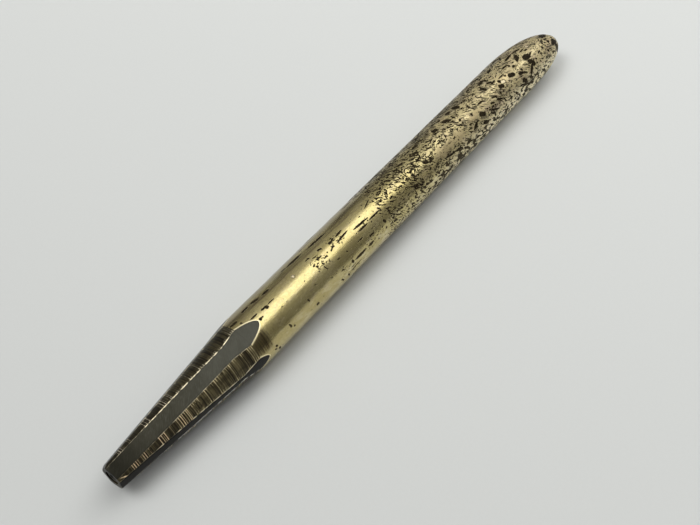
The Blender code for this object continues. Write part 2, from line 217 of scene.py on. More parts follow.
def skin_ring(station, headings):
    """Radius, signed distance to the nearest flat's edge, ridge strength and edge wear."""
    turned = plain_radius(np.full_like(headings, station)) - SKIN_DEPTH
    ridge = np.zeros_like(headings)
    if station < SEAM_STATION:
        ridge += float(ring_field(np.array([station]))[0])
        wave = RING_WAVE * math.sin(station * 9.0)
        turned = turned + RIDGE_HEIGHT * ridge - GROOVE_DEPTH + wave
    turned = turned + wobble(station, headings)
    nearest = np.full_like(headings, NO_EDGE)
    wear = np.zeros_like(headings)
    rounding = EDGE_ROUNDING if station < ARCHES_START else ARCH_ROUNDING
    radius = turned.copy()
    for (heading, apothem), (early, late) in zip(FLATS, EDGE_WEAR):
        away = (headings - heading + 180) % 360 - 180
        depth = apothem + FLAT_TAPER * station
        facing = np.cos(np.radians(away))
        level = depth / np.maximum(facing, LEAST_FACING)
        level = np.where(facing > LEAST_FACING, level, NO_FLAT)
        gap = np.abs(turned - level)
        blend = np.clip(1 - gap / rounding, 0.0, 1.0)
        radius = np.minimum(radius, np.minimum(turned, level) - blend ** 2 * rounding / 4)
        half = float(flat_half_angle(station, apothem))
        if half > 0:
            edge = np.radians(np.abs(away) - half) * turned
        else:
            past = station - (BARREL_RADIUS - apothem) / FLAT_TAPER
            edge = np.hypot(np.radians(away) * turned, past)
        closer = np.abs(edge) < np.abs(nearest)
        nearest = np.where(closer, edge, nearest)
        wear = np.where(closer, np.where(away < 0, early, late), wear)
    if station < TIP_ZONE:
        ridge = ridge * smoothstep(1.9, 2.6, station) + tip_gleam(station, headings)
        corner = np.clip(1 - station / CORNER_LENGTH, 0.0, 1.0) ** 1.5
        away = (headings - CORNER_HEADING + 180) % 360 - 180
        radius = radius - CORNER_DEPTH * corner * np.exp(-(away / CORNER_SPREAD) ** 2)
    return radius, nearest, ridge, wear


def tip_gleam(station, headings):
    """A short curved rub mark that runs from the tip to the first turned ridges."""
    middle = 50.0 + 15.0 * float(smoothstep(0.3, 1.9, station))
    away = np.radians(np.abs(headings - middle)) * TIP_RADIUS
    return np.clip(1 - away / 0.16, 0.0, 1.0) * bump_at(station, 1.15, 1.1) ** 0.5


def place(station, headings, radius):
    """World points of a ring, leaning with the rear of the barrel."""
    turn = np.radians(headings)
    share = max(0.0, (station - OGIVE_FRONT) / OGIVE_LENGTH)
    lean = REAR_SKEW * share ** 2
    lean_turn = math.radians(REAR_SKEW_HEADING)
    points = np.empty((len(headings), 3))
    points[:, 0] = TIP_X + station * MM
    points[:, 1] = -(radius * np.sin(turn) + lean * math.sin(lean_turn)) * MM
    points[:, 2] = AXIS_Z + (radius * np.cos(turn) + lean * math.cos(lean_turn)) * MM
    return points


class Skin:
    """Collects rings of points and joins them into one closed, smooth-shaded mesh."""

    def __init__(self):
        self.points, self.rings = [], []
        self.edge, self.ridge, self.wear = [], [], []

    def add(self, points, edge, ridge, wear):
        first = sum(len(block) for block in self.points)
        self.points.append(points)
        for value, blocks in ((edge, self.edge), (ridge, self.ridge), (wear, self.wear)):
            blocks.append(np.broadcast_to(value, len(points)))
        self.rings.append((first, len(points)))

    def outside(self, station, shrink=0.0):
        """A ring of the worn outer surface, drawn in by shrink millimetres."""
        headings = ring_headings(station)
        radius, edge, ridge, wear = skin_ring(station, headings)
        self.add(place(station, headings, radius - shrink), edge, ridge, wear)

    def inside(self, station, radius, headings=None):
        """A plain round ring of a bore or a step."""
        headings = ring_headings(station) if headings is None else headings
        self.add(place(station, headings, np.full(COLUMNS, radius)), NO_EDGE, 0.0, 0.0)

    def pole(self, station):
        """A single point on the axis, where rings close."""
        self.add(place(station, np.zeros(1), np.zeros(1)), NO_EDGE, 0.0, 0.0)

    def faces(self):
        """Quads between neighbouring rings, and triangles round the poles."""
        quads, triangles = [], []
        step = np.arange(COLUMNS)
        after = (step + 1) % COLUMNS
        for (first, count), (second, other) in zip(self.rings, self.rings[1:] + self.rings[:1]):
            if count == other == 1:
                continue
            if count == 1:
                triangles.append(np.stack([first + 0 * step, second + after, second + step], 1))
            elif other == 1:
                triangles.append(np.stack([first + step, first + after, second + 0 * step], 1))
            else:
                quads.append(np.stack([first + step, first + after,
                                       second + after, second + step], 1))
        return quads + triangles

    def build(self, name, body, node, material):
        """Make the mesh with its attributes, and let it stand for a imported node."""
        blocks = self.faces()
        corners = np.concatenate([block.ravel() for block in blocks])
        sizes = np.concatenate([np.full(len(block), block.shape[1]) for block in blocks])
        mesh = bpy.data.meshes.new(name)
        points = np.concatenate(self.points)
        mesh.vertices.add(len(points))
        mesh.vertices.foreach_set("co", points.ravel())
        mesh.loops.add(len(corners))
        mesh.loops.foreach_set("vertex_index", corners.astype(np.int32))
        mesh.polygons.add(len(sizes))
        mesh.polygons.foreach_set("loop_start",
                                  np.concatenate([[0], np.cumsum(sizes)[:-1]]).astype(np.int32))
        for label, values in (("edge_mm", self.edge), ("ridge", self.ridge),
                              ("wear", self.wear)):
            attribute = mesh.attributes.new(label, "FLOAT", "POINT")
            attribute.data.foreach_set("value", np.concatenate(values).astype(np.float32))
        middles = np.concatenate([points[block].mean(axis=1) for block in blocks])
        owners = np.repeat(np.arange(len(sizes)), sizes)
        for label, values in mark_fields(points, middles, corners, owners).items():
            attribute = mesh.attributes.new(label, "FLOAT", "CORNER")
            attribute.data.foreach_set("value", values.astype(np.float32))
        mesh.update(calc_edges=True)
        mesh.validate()
        mesh.shade_smooth()
        mesh.set_sharp_from_angle(angle=math.radians(50))
        mesh.materials.append(material)
        piece = bpy.data.objects.new(name, mesh)
        bpy.context.collection.objects.link(piece)
        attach(piece, body)
        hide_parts(node)
        return piece


# Scratches and pits that stand alone on the barrel: two (station, heading) ends and a half
# width, in millimetres and degrees. Denser, smaller pitting is made by the material.
DARK_MARKS = (
    # slits and pits on the smooth front
    (29.0, -21, 30.2, -20, 0.22), (32.4, -28, 33.5, -28, 0.19), (34.4, -28, 36.2, -25, 0.27),
    (36.8, -23, 38.6, -22, 0.22), (42.8, -33, 43.6, -33, 0.11), (44.0, -31, 47.8, -30, 0.24),
    (49.0, -27, 53.9, -24, 0.20), (31.8, 0, 33.4, 0, 0.13), (34.3, 1, 35.7, 3, 0.14),
    (35.3, 3, 35.4, 5, 0.25), (35.8, 2, 37.5, 2, 0.08), (33.0, 13, 33.1, 13, 0.20),
    (33.3, 12, 33.6, 13, 0.09), (30.4, -10, 30.5, -8, 0.12), (41.7, 52, 41.8, 56, 0.13),
    (36.3, 62, 36.5, 68, 0.13), (43.15, 78, 43.25, 78, 0.22), (32.4, 76, 32.5, 78, 0.16),
    (33.0, 88, 33.1, 93, 0.17), (32.0, 82, 32.3, 84, 0.11), (37.1, 73, 37.2, 74, 0.11),
    (46.6, -7, 47.5, -6, 0.10), (47.8, 1, 48.7, 2, 0.08), (48.1, 9, 49.0, 9, 0.10),
    (49.7, -4, 50.3, -3, 0.15), (49.2, 17, 49.9, 17, 0.08), (46.6, 14, 47.0, 13, 0.08),
    (47.05, 18, 47.15, 19, 0.13), (47.0, 25, 47.1, 26, 0.11), (48.0, 29, 48.2, 37, 0.09),
    (48.2, 21, 48.4, 24, 0.09), (50.4, 12, 50.5, 13, 0.08), (52.0, 4, 53.4, 0, 0.12),
    (52.1, 2, 52.5, 3, 0.17), (53.9, 2, 55.8, 0, 0.16), (51.2, 16, 52.2, 12, 0.09),
    (51.9, 12, 52.2, 13, 0.14), (53.2, 13, 56.3, 10, 0.13), (57.3, 18, 61.1, 21, 0.14),
    (57.7, 28, 60.2, 29, 0.15), (61.0, 27, 63.9, 27, 0.13), (62.1, 3, 64.4, -5, 0.07),
    (56.1, 42, 57.6, 42, 0.11), (50.9, 38, 51.6, 38, 0.08), (63.35, 50, 63.45, 53, 0.23),
    (59.1, 52, 60.0, 52, 0.15), (53.3, 64, 53.4, 66, 0.21), (54.1, 67, 57.1, 67, 0.21),
    (57.9, 67, 59.3, 67, 0.17), (63.2, 66, 63.3, 66, 0.14), (52.4, 81, 55.5, 79, 0.08),
    (49.8, 80, 50.2, 85, 0.13), (51.6, 84, 51.8, 88, 0.13), (50.8, 62, 50.9, 64, 0.11),
    # bold flecks of the dense part
    (64.5, 10, 64.7, 17, 0.07), (64.0, 22, 64.2, 27, 0.10), (65.3, 0, 65.35, 7, 0.09),
    (65.4, 50, 65.8, 52, 0.12), (65.4, 61, 66.0, 66, 0.10), (67.5, 9, 67.6, 15, 0.10),
    (66.7, -3, 67.3, 0, 0.12), (66.9, 17, 66.8, 22, 0.07), (67.8, 25, 68.4, 32, 0.08),
    (68.4, -11, 69.3, 0, 0.11), (69.6, -10, 70.3, -5, 0.17), (70.8, -12, 71.8, -14, 0.08),
    (69.4, 22, 69.7, 23, 0.11), (70.6, 10, 71.2, 15, 0.07), (70.9, 0, 71.3, 3, 0.07),
    (72.6, 1, 74.4, 0, 0.07), (72.8, -14, 73.4, -7, 0.13), (74.2, -14, 75.5, -11, 0.21),
    (73.2, 45, 73.9, 48, 0.23), (74.5, 50, 74.8, 56, 0.16), (75.1, 63, 75.5, 65, 0.19),
    (72.8, 59, 72.9, 64, 0.11), (75.8, 12, 76.8, 21, 0.10), (77.1, 11, 79.0, 7, 0.13),
    (78.3, 24, 78.9, 27, 0.24), (78.6, -8, 79.3, -4, 0.24), (77.2, 64, 77.6, 65, 0.16),
    (80.0, -21, 80.8, -20, 0.18), (79.9, 26, 80.5, 31, 0.14), (81.3, 6, 82.1, 11, 0.12),
    (80.8, 82, 81.5, 78, 0.17), (83.4, 53, 86.4, 57, 0.17), (86.0, 57, 88.0, 61, 0.22),
    (85.8, -13, 86.4, -11, 0.32), (89.2, -12, 89.9, -8, 0.32), (91.3, -7, 91.4, 0, 0.16),
    (91.6, -23, 92.2, -21, 0.26), (93.8, -20, 94.3, -15, 0.41), (84.8, 75, 89.5, 88, 0.13),
    (92.8, 53, 94.7, 43, 0.25), (91.9, 74, 92.3, 77, 0.26), (95.6, 5, 95.7, 7, 0.20),
    (96.4, 38, 97.2, 42, 0.33), (96.1, 58, 97.3, 64, 0.31), (97.4, 17, 99.2, 19, 0.16),
    # blotches near the rear
    (101.6, -3, 101.8, 4, 0.29), (102.8, -16, 103.6, -19, 0.27), (103.7, -2, 104.4, 1, 0.20),
    (104.0, 6, 105.2, 5, 0.15), (104.0, -14, 104.1, -12, 0.23), (105.7, 14, 105.9, 16, 0.27),
    (104.9, 24, 105.6, 27, 0.33), (106.2, 9, 108.2, 9, 0.12), (107.8, 13, 108.0, 15, 0.17),
    (108.8, 22, 109.8, 26, 0.35), (106.6, -24, 108.2, -28, 0.25), (109.1, -2, 110.4, -2, 0.16),
    (110.7, -2, 110.9, 5, 0.17), (111.4, 13, 111.6, 13, 0.23), (112.3, 31, 112.4, 33, 0.20),
    (111.2, 36, 112.0, 38, 0.25), (112.0, 38, 113.2, 46, 0.18), (113.3, 10, 114.3, 0, 0.25),
    (114.1, 4, 114.4, -2, 0.33), (111.7, -12, 114.5, -16, 0.23), (114.5, -16, 117.2, -11, 0.20),
    (116.3, -2, 117.4, -4, 0.13), (117.2, 4, 117.9, 4, 0.14), (115.4, 17, 116.5, 20, 0.49),
    (116.3, 21, 117.8, 18, 0.18), (115.7, 33, 116.2, 42, 0.45), (115.7, 41, 113.9, 59, 0.30),
    (113.6, 60, 113.9, 60, 0.29), (111.4, 56, 111.8, 64, 0.45), (109.5, 59, 111.0, 62, 0.17),
    (113.8, 80, 114.9, 70, 0.20), (114.9, 70, 116.3, 69, 0.19), (116.3, 69, 116.4, 86, 0.23),
    (111.6, -24, 113.1, -41, 0.17), (111.0, -42, 112.2, -40, 0.28), (100.2, 37, 101.0, 40, 0.17),
    (102.0, 41, 103.4, 47, 0.18), (101.2, 29, 102.7, 34, 0.16), (98.9, 46, 101.6, 60, 0.16),
    (117.6, 38, 117.7, 39, 0.18), (117.2, 47, 117.3, 48, 0.15), (119.8, 38, 119.9, 39, 0.16),
    (119.3, 33, 120.0, 31, 0.14), (121.4, 29, 121.5, 31, 0.20), (122.3, 20, 122.5, 28, 0.11),
    (122.4, 48, 122.6, 50, 0.22), (124.3, 17, 124.9, 19, 0.21), (124.4, 29, 124.7, 31, 0.25),
    (118.2, 74, 118.5, 77, 0.20), (120.7, 83, 121.2, 90, 0.18), (125.2, 45, 127.4, 54, 0.65),
    (126.2, 58, 127.2, 86, 0.75), (124.6, 6, 126.2, -8, 0.63), (126.0, -4, 126.9, -20, 0.58),
)
# Dents, each with a dark outline and a painted glint: a pale spot that stands in for the light
# they catch.
PAINTED_GLINT_DENTS = (
    (42.75, -2, 42.85, -2, 0.14), (106.1, 20, 106.7, 22, 0.22), (118.6, -3, 118.9, 0, 0.11),
)


def far_side_marks():
    """Slits, flecks and blotches of the side that DARK_MARKS leaves out.

    Each kind has a count and ranges of station, run along, run in heading and half width.
    """
    random = np.random.default_rng(5)
    marks = []
    for count, stations, lengths, slants, widths in (
            (30, (31.0, 62.0), (0.3, 3.5), (-3.0, 3.0), (0.09, 0.18)),
            (64, (63.0, 100.0), (0.2, 1.6), (0.0, 9.0), (0.08, 0.26)),
            (34, (98.0, 124.0), (0.1, 1.8), (-14.0, 14.0), (0.15, 0.43))):
        for _ in range(count):
            station, heading = random.uniform(*stations), random.uniform(100.0, 318.0)
            marks.append((station, heading, station + random.uniform(*lengths),
                          heading + random.uniform(*slants), random.uniform(*widths)))
    return tuple(marks)


ALL_DARK_MARKS = DARK_MARKS + far_side_marks()
MARK_REACH = 1.0        # faces further from every mark than this carry none


def mark_fields(points, middles, corners, owners):
    """The mark nearest to each face, as seen from the face's corners, in millimetres.

    Gives every corner's place along the mark and across it, from the mark's middle, then the
    mark's half length and half width, and whether it is a dent with a painted glint.
    """
    def on_skin(spots):
        turn = np.degrees(np.arctan2(-spots[:, 1], spots[:, 2] - AXIS_Z))
        return (spots[:, 0] - TIP_X) / MM, turn, np.hypot(spots[:, 1], spots[:, 2] - AXIS_Z) / MM

    def seen_from(spots, mark):
        station, heading, radius = spots
        first, first_heading, last, last_heading, _ = mark
        middle, turn = (first + last) / 2, (first_heading + last_heading) / 2
        run = last - first
        rise = math.radians(last_heading - first_heading) * float(plain_radius(middle))
        length = math.hypot(run, rise)
        east = station - middle
        north = np.radians((heading - turn + 180) % 360 - 180) * radius
        return (east * run + north * rise) / length, (north * run - east * rise) / length, length

    all_marks = ALL_DARK_MARKS + PAINTED_GLINT_DENTS
    places = on_skin(middles)
    nearest = np.full(len(middles), NO_EDGE)
    chosen = np.zeros(len(middles), int)
    for index, mark in enumerate(all_marks):
        forward, sideways, length = seen_from(places, mark)
        distance = np.hypot(np.maximum(np.abs(forward) - length / 2, 0), sideways) - mark[4]
        chosen = np.where(distance < nearest, index, chosen)
        nearest = np.minimum(distance, nearest)
    corner_places = on_skin(points[corners])
    fields = {label: np.full(len(corners), value) for label, value in (
        ("mark_along", NO_EDGE), ("mark_across", NO_EDGE), ("mark_length", 0.0),
        ("mark_width", -NO_EDGE), ("mark_painted_glint", 0.0))}
    picked = np.where(nearest < MARK_REACH, chosen, -1)[owners]
    for index, mark in enumerate(all_marks):
        here = picked == index
        if not here.any():
            continue
        forward, sideways, length = seen_from([part[here] for part in corner_places], mark)
        found = (forward, sideways, length / 2, mark[4], float(index >= len(ALL_DARK_MARKS)))
        for values, value in zip(fields.values(), found):
            values[here] = value
    return fields


# Ring spacing of the skins, and the shape of their ends. Beside the seam the even rings stop
# at RIM_START, and the rim drops by RIM_DROP within RIM_EDGE of its end.
NOSE_STEP, ARCH_STEP, BARREL_STEP, OGIVE_RINGS = 0.06, 0.08, 0.2, 90
TIP_CHAMFER, LIP_DEPTH, SPIGOT_CLEARANCE = 0.07, 0.5, 0.1
RIM_START, RIM_EDGE, RIM_DROP = 0.12, 0.03, 0.004


def build_nose(material):
    """The twisting nose, with its ridges, flats and worn edges, bored for the lead."""
    skin = Skin()
    back = SEAM_STATION - SEAM_SLIT / 2
    skin.inside(0.0, LINER_BORE)
    skin.outside(0.0, LIP_DEPTH)
    skin.outside(0.0, TIP_CHAMFER)
    skin.outside(TIP_CHAMFER * 0.4, TIP_CHAMFER * 0.35)
    for station in np.arange(TIP_CHAMFER, back - RIM_START, NOSE_STEP):
        skin.outside(float(station))
    skin.outside(back - RIM_EDGE)
    skin.outside(back, RIM_DROP)
    skin.outside(back, LIP_DEPTH)
    spigot = BARREL_BORE - SPIGOT_CLEARANCE
    headings = ring_headings(back)
    skin.inside(back, spigot, headings)
    skin.inside(SPIGOT_BACK, spigot, headings)
    skin.inside(SPIGOT_BACK, RUNNING_BORE, headings)
    skin.inside(WIDE_BORE_FRONT, RUNNING_BORE)
    skin.inside(WIDE_BORE_FRONT, LINER_BORE)
    return skin.build("nose_skin", "nose", "nose_cone", material)


def build_barrel(material):
    """The handle, with the ends of the ground flats running out on it as arches."""
    skin = Skin()
    front = SEAM_STATION + SEAM_SLIT / 2
    skin.inside(front, BARREL_BORE)
    skin.outside(front, LIP_DEPTH)
    skin.outside(front, RIM_DROP)
    skin.outside(front + RIM_EDGE)
    for station in np.arange(front + RIM_START, ARCHES_END, ARCH_STEP):
        skin.outside(float(station))
    for station in np.arange(ARCHES_END + 0.05, OGIVE_FRONT, BARREL_STEP):
        skin.outside(float(station))
    for ring in range(OGIVE_RINGS):
        share = math.sin(math.pi / 2 * ring / OGIVE_RINGS)
        skin.outside(OGIVE_FRONT + OGIVE_LENGTH * share)
    skin.pole(LENGTH)
    skin.pole(BARREL_BORE_POINT)
    skin.inside(BARREL_BORE_BACK, BARREL_BORE)
    return skin.build("barrel_skin", "barrel", "barrel", material)


# -------------------- materials
# Ramps and bands run over stations in millimetres or headings in degrees.

class Nodes:
    """The node graph of a material or a world, with short calls for the nodes used here."""

    def __init__(self, name, kind="materials"):
        self.owner = getattr(bpy.data, kind).new(name)
        self.owner.use_nodes = True
        self.tree = self.owner.node_tree
        self.shader = self.tree.nodes.get("Principled BSDF")

    def put(self, value, socket):
        if isinstance(value, bpy.types.NodeSocket):
            self.tree.links.new(value, socket)
        elif value is not None:
            socket.default_value = value

    def make(self, kind, *values, **settings):
        node = self.tree.nodes.new(kind)
        for label, setting in settings.items():
            setattr(node, label, setting)
        for value, socket in zip(values, node.inputs):
            self.put(value, socket)
        return node

    def math(self, operation, *values, clamp=False):
        node = self.make("ShaderNodeMath", *values, operation=operation, use_clamp=clamp)
        return node.outputs[0]

    def times(self, first, *others):
        """Product of several values."""
        for other in others:
            first = self.math("MULTIPLY", first, other)
        return first

    def complement(self, value):
        """One minus a value."""
        return self.math("SUBTRACT", 1.0, value)

    def swing(self, noise, size):
        """A noise turned into a swing of some size about zero."""
        return self.times(self.math("SUBTRACT", noise, 0.5), size)

    def position(self):
        """The point on the pencil in millimetres: station, and the two ways across."""
        where = self.make("ShaderNodeTexCoord").outputs["Object"]
        moved = self.make("ShaderNodeVectorMath", where, (TIP_X, 0.0, AXIS_Z),
                          operation="SUBTRACT").outputs[0]
        scaled = self.make("ShaderNodeVectorMath", moved, operation="SCALE")
        scaled.inputs["Scale"].default_value = 1 / MM
        return scaled.outputs[0]

    def parts(self, vector):
        return self.make("ShaderNodeSeparateXYZ", vector).outputs

    def stretch(self, vector, scale):
        return self.make("ShaderNodeVectorMath", vector, scale, operation="MULTIPLY").outputs[0]

    def twist(self, vector, rate):
        """Turn each point about the axis by rate radians a millimetre of station."""
        angle = self.math("MULTIPLY", self.parts(vector)[0], rate)
        node = self.make("ShaderNodeVectorRotate", rotation_type="X_AXIS")
        self.put(vector, node.inputs["Vector"])
        self.put(angle, node.inputs["Angle"])
        return node.outputs[0]

    def noise(self, vector, scale=1.0, detail=2.0, roughness=0.5, distortion=0.0):
        """Cloudy noise from about 0 to 1; a scale of three numbers stretches it."""
        if isinstance(scale, tuple):
            vector, scale = self.stretch(vector, scale), 1.0
        node = self.make("ShaderNodeTexNoise")
        for value, label in ((vector, "Vector"), (scale, "Scale"), (detail, "Detail"),
                             (roughness, "Roughness"), (distortion, "Distortion")):
            self.put(value, node.inputs[label])
        return node.outputs[0]

    def ramp(self, value, low, high, start=0.0, end=1.0):
        """Smooth change from start to end as value goes from low to high."""
        node = self.make("ShaderNodeMapRange", value, low, high, start, end,
                         interpolation_type="SMOOTHSTEP")
        return node.outputs[0]

    def band(self, value, rise, fall, level=1.0, rest=0.0):
        """Smoothly up from 0 to level over rise, and down to the share rest over fall."""
        return self.times(self.ramp(value, *rise, 0.0, level), self.ramp(value, *fall, 1.0, rest))

    def attribute(self, name):
        return self.make("ShaderNodeAttribute", attribute_name=name).outputs["Fac"]

    def mix(self, share, first, second):
        node = self.tree.nodes.new("ShaderNodeMix")
        node.data_type = "RGBA"
        self.put(share, node.inputs[0])
        for value, socket in ((first, node.inputs[6]), (second, node.inputs[7])):
            self.put((*value, 1.0) if isinstance(value, tuple) else value, socket)
        return node.outputs[2]

    def blend(self, share, first, second):
        """Mix of two plain numbers."""
        node = self.tree.nodes.new("ShaderNodeMix")
        node.data_type = "FLOAT"
        self.put(share, node.inputs[0])
        self.put(first, node.inputs[2])
        self.put(second, node.inputs[3])
        return node.outputs[0]

    def heading(self, vector):
        """Heading in degrees, from -180 to 180."""
        _, across, up = self.parts(vector)
        turn = self.math("ARCTAN2", self.math("MULTIPLY", across, -1.0), up)
        return self.math("MULTIPLY", turn, 180 / math.pi)

    def finish(self, color, roughness, metallic, height=None):
        """Wire up the shader; height is in millimetres."""
        for value, label in ((color, "Base Color"), (roughness, "Roughness"),
                             (metallic, "Metallic")):
            self.put(value, self.shader.inputs[label])
        if height is not None:
            bump = self.make("ShaderNodeBump")
            bump.inputs["Strength"].default_value = 1.0
            bump.inputs["Distance"].default_value = MM
            self.put(height, bump.inputs["Height"])
            self.put(bump.outputs[0], self.shader.inputs["Normal"])
        return self.owner


def mark_masks(n, ragged):
    """Masks of the dark marks and of the dents' painted glints; ragged is an unevenness in mm."""
    length = n.attribute("mark_length")
    forward = n.math("ABSOLUTE", n.attribute("mark_along"))
    beyond = n.math("MAXIMUM", n.math("SUBTRACT", forward, length), 0.0)
    sideways = n.attribute("mark_across")
    distance = n.math("SQRT", n.math("ADD", n.times(beyond, beyond), n.times(sideways, sideways)))
    width = n.math("ADD", n.attribute("mark_width"), ragged)
    share = n.math("DIVIDE", forward, n.math("MAXIMUM", length, 0.01), clamp=True)
    slender = n.ramp(length, 0.4, 0.9)
    thinned = n.times(share, share, slender)
    width = n.times(width, n.ramp(thinned, 0.0, 1.0, 1.35, 0.50))
    outside = n.math("SUBTRACT", distance, width)
    inside = n.ramp(outside, -0.035, 0.035, 1.0, 0.0)
    bright = n.attribute("mark_painted_glint")
    outline = n.band(outside, (0.0, 0.05), (0.12, 0.22), 0.8)
    dark = n.blend(bright, inside, outline)
    return dark, n.times(bright, inside)


def ground_flat(n, point, station):
    """Colour, roughness and grinding marks of the flats: blackened, scored on a slant, and
    painted darker towards the tip and on the underside as painted shade.
    """
    grinding = n.noise(n.twist(point, 0.30), (0.6, 7.0, 7.0), 3.0, 0.7)
    cloud = n.noise(point, 0.6, 3.0, 0.6)
    dark = n.mix(cloud, (0.021, 0.020, 0.0145), (0.038, 0.036, 0.026))
    pale = n.mix(cloud, (0.033, 0.0325, 0.0245), (0.061, 0.060, 0.049))
    # Towards the tip the flats are painted darker: painted shade where they reflect less of the
    # ceiling panel.
    ground = n.mix(n.ramp(station, 10.0, 27.0), dark, pale)
    ground = n.mix(n.ramp(station, 0.0, 9.0, 0.85, 0.0), ground, (0.009, 0.0085, 0.006))
    scored = n.times(n.ramp(grinding, 0.45, 0.70), n.ramp(station, 2.0, 12.0, 0.10, 0.5))
    ground = n.mix(scored, ground, (0.076, 0.074, 0.060))
    # The flats that face down are painted darker: painted shade for the shadowed paper they
    # reflect.
    painted_underside_shade = n.band(n.heading(point), (45.0, 65.0), (110.0, 150.0), 0.90, 0.3)
    ground = n.mix(painted_underside_shade, ground, (0.010, 0.009, 0.008))
    return ground, n.ramp(grinding, 0.3, 0.7, 0.30, 0.42), grinding


# Patches of the barrel: first and last station, middle heading, half width in degrees.
# In places the pitted part is rubbed bare or crowded, and the smooth front has fine specks.
RUBBED_SMEARS = ((80.5, 91.5, 37.0, 13.0), (92.0, 98.5, 28.0, 9.0), (103.0, 110.5, 15.0, 10.0))
CROWDED_PATCHES = ((71.0, 81.0, 12.0, 30.0),)
SPECK_CLUSTERS = ((45.0, 51.5, 16.0, 24.0), (50.0, 56.5, 4.0, 14.0), (48.5, 55.5, 72.0, 22.0),
                  (56.0, 64.0, 58.0, 26.0))


def patch_mask(n, station, heading, patches):
    """A mask of some patches, which fades over the last two millimetres of each."""
    mask = 0.0
    for start, end, centre, half_width in patches:
        sideways = n.math("ABSOLUTE", n.math("SUBTRACT", heading, centre))
        patch = n.times(n.band(station, (start, start + 2.0), (end - 2.0, end)),
                        n.ramp(sideways, 0.5 * half_width, half_width, 1.0, 0.0))
        mask = n.math("MAXIMUM", mask, patch)
    return mask


def fleck_limit(n, point, station, heading, smears, crowded):
    """How strong the fleck noise must be to show: low where the barrel is pitted densely."""
    calm_to_dense = n.ramp(station, 60.0, 66.0, 0.80, 0.522)
    dense_to_open = n.ramp(station, 90.0, 114.0, 0.0, 0.048)
    crowding = n.swing(n.noise(point, 0.33, 2.0), -0.20)
    upper_edge = n.band(heading, (-70.0, -50.0), (-28.0, -12.0), 0.035)
    lower_side = n.times(n.band(heading, (50.0, 72.0), (110.0, 140.0), 0.030),
                         n.ramp(station, 76.0, 90.0))
    limit = n.math("ADD", n.math("ADD", calm_to_dense, dense_to_open), crowding)
    limit = n.math("SUBTRACT", limit, n.math("ADD", upper_edge, lower_side))
    limit = n.math("ADD", limit, n.times(smears, 0.12))
    return n.math("SUBTRACT", limit, n.times(crowded, 0.045))


def barrel_pits(n, point, station, heading, fine, below):
    """Masks of the flecks, of the lone pits and specks, and of the places rubbed bare."""
    # Flecks follow helices, one way in most places and nearly level in the rest.
    leaning = n.noise(n.twist(point, -0.115), (1.4, 3.6, 3.6), 1.0, 0.5, 0.6)
    level = n.noise(n.twist(point, 0.03), (1.7, 3.1, 3.1), 1.0, 0.5, 0.9)
    coarse = n.noise(n.twist(point, -0.06), (0.95, 1.8, 1.8), 1.0, 0.5, 0.4)
    patches = n.noise(point, 0.35, 2.0)
    fleck = n.blend(n.ramp(patches, 0.48, 0.56), leaning, level)
    fleck = n.blend(n.times(below, n.ramp(station, 66.0, 76.0)), fleck, coarse)
    fleck = n.math("ADD", fleck, n.swing(fine, 0.12))

    wavering = n.math("ADD", heading, n.swing(patches, 40.0))
    smears = patch_mask(n, station, wavering, RUBBED_SMEARS)
    crowded = patch_mask(n, station, wavering, CROWDED_PATCHES)
    limit = fleck_limit(n, point, station, heading, smears, crowded)
    flecks = n.ramp(n.math("SUBTRACT", fleck, limit), 0.0, 0.03)

    # A few lone pits before the dense part begins, and the clusters of fine specks.
    pits = n.noise(n.stretch(point, (0.9, 1.5, 1.5)), 1.7, 1.0)
    pits = n.ramp(n.math("SUBTRACT", pits, n.ramp(station, 32.0, 60.0, 0.77, 0.70)), 0.0, 0.03)
    specks = n.noise(point, (2.2, 4.0, 4.0), 1.0, 0.5, 0.3)
    specks = n.times(specks, patch_mask(n, station, wavering, SPECK_CLUSTERS))
    specks = n.ramp(specks, 0.56, 0.60)
    return flecks, n.math("MAXIMUM", pits, n.times(specks, 0.85)), smears


def barrel_bloom(n, point, heading, fine):
    """Dull film of the pitted part: ruddy in places, painted pale on its sides as painted light,
    darker on its crown.
    """
    bloom = n.mix(n.ramp(fine, 0.35, 0.65), (0.48, 0.400, 0.220), (0.77, 0.665, 0.40))
    ruddy = n.ramp(n.noise(point, 0.45, 3.0, 0.6), 0.48, 0.60, 0.0, 0.8)
    bloom = n.mix(ruddy, bloom, (0.56, 0.445, 0.290))
    # Painted light: the film is painted paler on its lower side and near its upper edge.
    painted_side_light = n.band(heading, (45.0, 80.0), (110.0, 150.0), 0.90, 0.4)
    painted_side_light = n.math("MAXIMUM", painted_side_light, n.ramp(heading, -55.0, -22.0, 0.60, 0.0))
    bloom = n.mix(painted_side_light, bloom, (0.96, 0.87, 0.62))
    crown = n.band(heading, (-24.0, -8.0), (12.0, 26.0), 0.45)
    return n.mix(crown, bloom, (0.43, 0.36, 0.21))


def seam_stain(n, point, station, heading, edge, fine):
    """Mask of the brown stain with turned rings, behind the seam between two of the flats."""
    rings = n.noise(point, (3.2, 0.05, 0.05), 2.0, 0.6)
    behind_seam = n.ramp(n.math("ADD", station, fine), 31.9, 32.9, 1.0, 0.0)
    beside = n.band(heading, (22.0, 32.0), (62.0, 76.0))
    return n.times(behind_seam, beside, n.ramp(rings, 0.40, 0.60, 1.0, 0.65),
                   n.ramp(edge, 0.22, 0.45))


